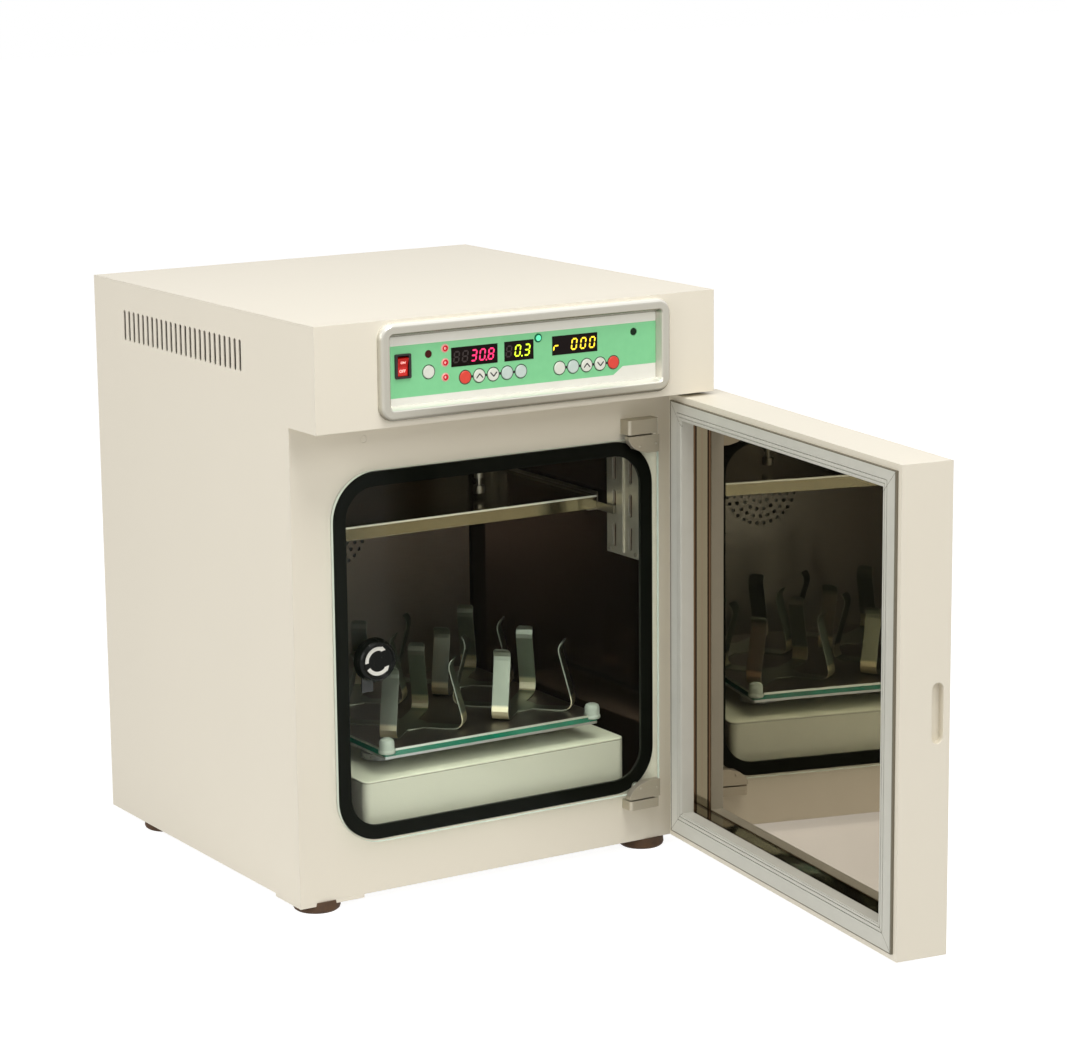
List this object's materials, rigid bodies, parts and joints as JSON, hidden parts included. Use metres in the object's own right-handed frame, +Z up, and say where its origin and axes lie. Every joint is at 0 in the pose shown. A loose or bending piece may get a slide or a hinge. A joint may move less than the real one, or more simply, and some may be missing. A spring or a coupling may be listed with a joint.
{
  "type": "incubated benchtop shaker",
  "caption": "Benchtop incubator shaker with a glass inner door, an insulated outer door, a belt-driven orbital platform with flask clamps, a shelf and a panel of keys and displays.",
  "frame": {"origin": "on the floor, under the middle of the bounding box with the outer door open", "axes": "+X to the right along the front, +Y towards the back, +Z up"},
  "size_m": [0.545, 1.0588, 0.673],
  "materials": {
    "cream_paint": "satin",
    "dark_rubber": "matt",
    "bezel_silver": "satin",
    "panel_film": "satin",
    "display_smoke": "gloss",
    "lamp_lens": "gloss",
    "circuit_board": "gloss",
    "black_plastic": "gloss",
    "rocker_red": "gloss",
    "key_cap": "satin",
    "stainless": "brushed",
    "foam": "matt",
    "motor_black": "satin",
    "bare_aluminium": "satin",
    "machined_steel": "machined",
    "belt_rubber": "matt",
    "green_glass": "polished",
    "mirror_steel": "polished",
    "spring_steel": "polished",
    "white_plastic": "satin",
    "clear_glass": "polished",
    "seal_rubber": "matt",
    "gasket_grey": "matt",
    "plated_brass": "satin",
    "zinc_sheet": "satin"
  },
  "bodies": {
    "cabinet": {"cabinet_shell": "cream_paint", "front_frame": "cream_paint", "head_front": "cream_paint", "top_cover": "cream_paint", "back_panel": "cream_paint", "base_pan": "cream_paint", "feet": "dark_rubber", "bezel": "bezel_silver", "control_panel": "panel_film", "display_windows": "display_smoke", "indicator_lamps": "lamp_lens", "control_board": "circuit_board", "switch_housing": "black_plastic", "liner": "stainless", "insulation": "foam", "duct_cover": "stainless", "fan_motor": "motor_black", "sensor_probe": "stainless", "wall_brackets": "stainless", "shelf_rails": "stainless", "shelf": "stainless", "base_box": "cream_paint", "base_lid": "cream_paint", "drive_motor": "motor_black", "drive_belt": "belt_rubber", "hinge_brackets": "stainless", "power_inlet": "black_plastic", "gas_inlet": "plated_brass", "power_supply": "zinc_sheet"},
    "rocker": {"switch_rocker": "rocker_red"},
    "fan": {"fan_wheel": "bare_aluminium"},
    "motor_rotor": {"motor_pulley": "bare_aluminium"},
    "main_crank": {"drive_crank": "machined_steel"},
    "left_crank": {"idler_left": "machined_steel"},
    "right_crank": {"idler_right": "machined_steel"},
    "platform": {"platform_carrier": "bare_aluminium", "platform_glass": "green_glass", "platform_plate": "mirror_steel", "corner_posts": "white_plastic", "flask_clamps": "spring_steel"},
    "glass_door": {"glass_pane": "clear_glass", "glass_seal": "seal_rubber", "glass_hinges": "stainless"},
    "latch": {"latch_knob": "black_plastic", "latch_cam": "stainless"},
    "outer_door": {"door_shell": "cream_paint", "door_liner": "stainless", "door_gasket": "gasket_grey", "door_insulation": "foam"},
    "key_1_body": {"key_1": "key_cap"},
    "key_2_body": {"key_2": "key_cap"},
    "key_3_body": {"key_3": "key_cap"},
    "key_4_body": {"key_4": "key_cap"},
    "key_5_body": {"key_5": "key_cap"},
    "key_6_body": {"key_6": "key_cap"},
    "key_7_body": {"key_7": "key_cap"},
    "key_8_body": {"key_8": "key_cap"},
    "key_9_body": {"key_9": "key_cap"},
    "key_10_body": {"key_10": "key_cap"},
    "key_11_body": {"key_11": "key_cap"}
  },
  "joints": [
    {"name": "outer_door_hinge", "type": "hinge", "parent": "cabinet", "child": "outer_door", "pos_m": [0.24096, -0.01614, 0.2865], "axis": [0, 0, 1], "range_deg": [-82.6, 37.4]},
    {"name": "glass_door_hinge", "type": "hinge", "parent": "cabinet", "child": "glass_door", "pos_m": [0.19746, 0.00416, 0.2865], "axis": [0, 0, 1], "range_deg": [0, 75]},
    {"name": "latch_turn", "type": "hinge", "parent": "glass_door", "child": "latch", "pos_m": [-0.17904, 0.01536, 0.2865], "axis": [0, 1, 0], "range_deg": [0, 90]},
    {"name": "rocker_tilt", "type": "hinge", "parent": "cabinet", "child": "rocker", "pos_m": [-0.16329, -0.03714, 0.62095], "axis": [1, 0, 0], "range_deg": [-20, 0]},
    {"name": "fan_spin", "type": "hinge", "parent": "cabinet", "child": "fan", "pos_m": [-0.01254, 0.42536, 0.3465], "axis": [0, 1, 0], "continuous": true},
    {"name": "crank_spin", "type": "hinge", "parent": "cabinet", "child": "main_crank", "pos_m": [-0.00554, 0.26536, 0.13], "axis": [0, 0, 1], "continuous": true},
    {"name": "platform_orbit", "type": "hinge", "parent": "main_crank", "child": "platform", "pos_m": [-0.00554, 0.25336, 0.156], "axis": [0, 0, 1], "continuous": true},
    {"name": "left_crank_spin", "type": "hinge", "parent": "cabinet", "child": "left_crank", "pos_m": [-0.11554, 0.11036, 0.13], "axis": [0, 0, 1], "continuous": true},
    {"name": "right_crank_spin", "type": "hinge", "parent": "cabinet", "child": "right_crank", "pos_m": [0.10446, 0.11036, 0.13], "axis": [0, 0, 1], "continuous": true},
    {"name": "motor_spin", "type": "hinge", "parent": "cabinet", "child": "motor_rotor", "pos_m": [-0.11054, 0.26536, 0.12], "axis": [0, 0, 1], "continuous": true},
    {"name": "key_1_press", "type": "slide", "parent": "cabinet", "child": "key_1_body", "axis": [0, 1, 0], "range_m": [0, 0.0008], "stiffness_N_per_m": 1500, "springref_m": -0.0004},
    {"name": "key_2_press", "type": "slide", "parent": "cabinet", "child": "key_2_body", "axis": [0, 1, 0], "range_m": [0, 0.0008], "stiffness_N_per_m": 1500, "springref_m": -0.0004},
    {"name": "key_3_press", "type": "slide", "parent": "cabinet", "child": "key_3_body", "axis": [0, 1, 0], "range_m": [0, 0.0008], "stiffness_N_per_m": 1500, "springref_m": -0.0004},
    {"name": "key_4_press", "type": "slide", "parent": "cabinet", "child": "key_4_body", "axis": [0, 1, 0], "range_m": [0, 0.0008], "stiffness_N_per_m": 1500, "springref_m": -0.0004},
    {"name": "key_5_press", "type": "slide", "parent": "cabinet", "child": "key_5_body", "axis": [0, 1, 0], "range_m": [0, 0.0008], "stiffness_N_per_m": 1500, "springref_m": -0.0004},
    {"name": "key_6_press", "type": "slide", "parent": "cabinet", "child": "key_6_body", "axis": [0, 1, 0], "range_m": [0, 0.0008], "stiffness_N_per_m": 1500, "springref_m": -0.0004},
    {"name": "key_7_press", "type": "slide", "parent": "cabinet", "child": "key_7_body", "axis": [0, 1, 0], "range_m": [0, 0.0008], "stiffness_N_per_m": 1500, "springref_m": -0.0004},
    {"name": "key_8_press", "type": "slide", "parent": "cabinet", "child": "key_8_body", "axis": [0, 1, 0], "range_m": [0, 0.0008], "stiffness_N_per_m": 1500, "springref_m": -0.0004},
    {"name": "key_9_press", "type": "slide", "parent": "cabinet", "child": "key_9_body", "axis": [0, 1, 0], "range_m": [0, 0.0008], "stiffness_N_per_m": 1500, "springref_m": -0.0004},
    {"name": "key_10_press", "type": "slide", "parent": "cabinet", "child": "key_10_body", "axis": [0, 1, 0], "range_m": [0, 0.0008], "stiffness_N_per_m": 1500, "springref_m": -0.0004},
    {"name": "key_11_press", "type": "slide", "parent": "cabinet", "child": "key_11_body", "axis": [0, 1, 0], "range_m": [0, 0.0008], "stiffness_N_per_m": 1500, "springref_m": -0.0004}
  ],
  "couplings": [
    {"joint": "platform_orbit", "follows": "crank_spin", "ratio": -1},
    {"joint": "left_crank_spin", "follows": "crank_spin", "ratio": 1},
    {"joint": "right_crank_spin", "follows": "crank_spin", "ratio": 1},
    {"joint": "motor_spin", "follows": "crank_spin", "ratio": 3}
  ]
}
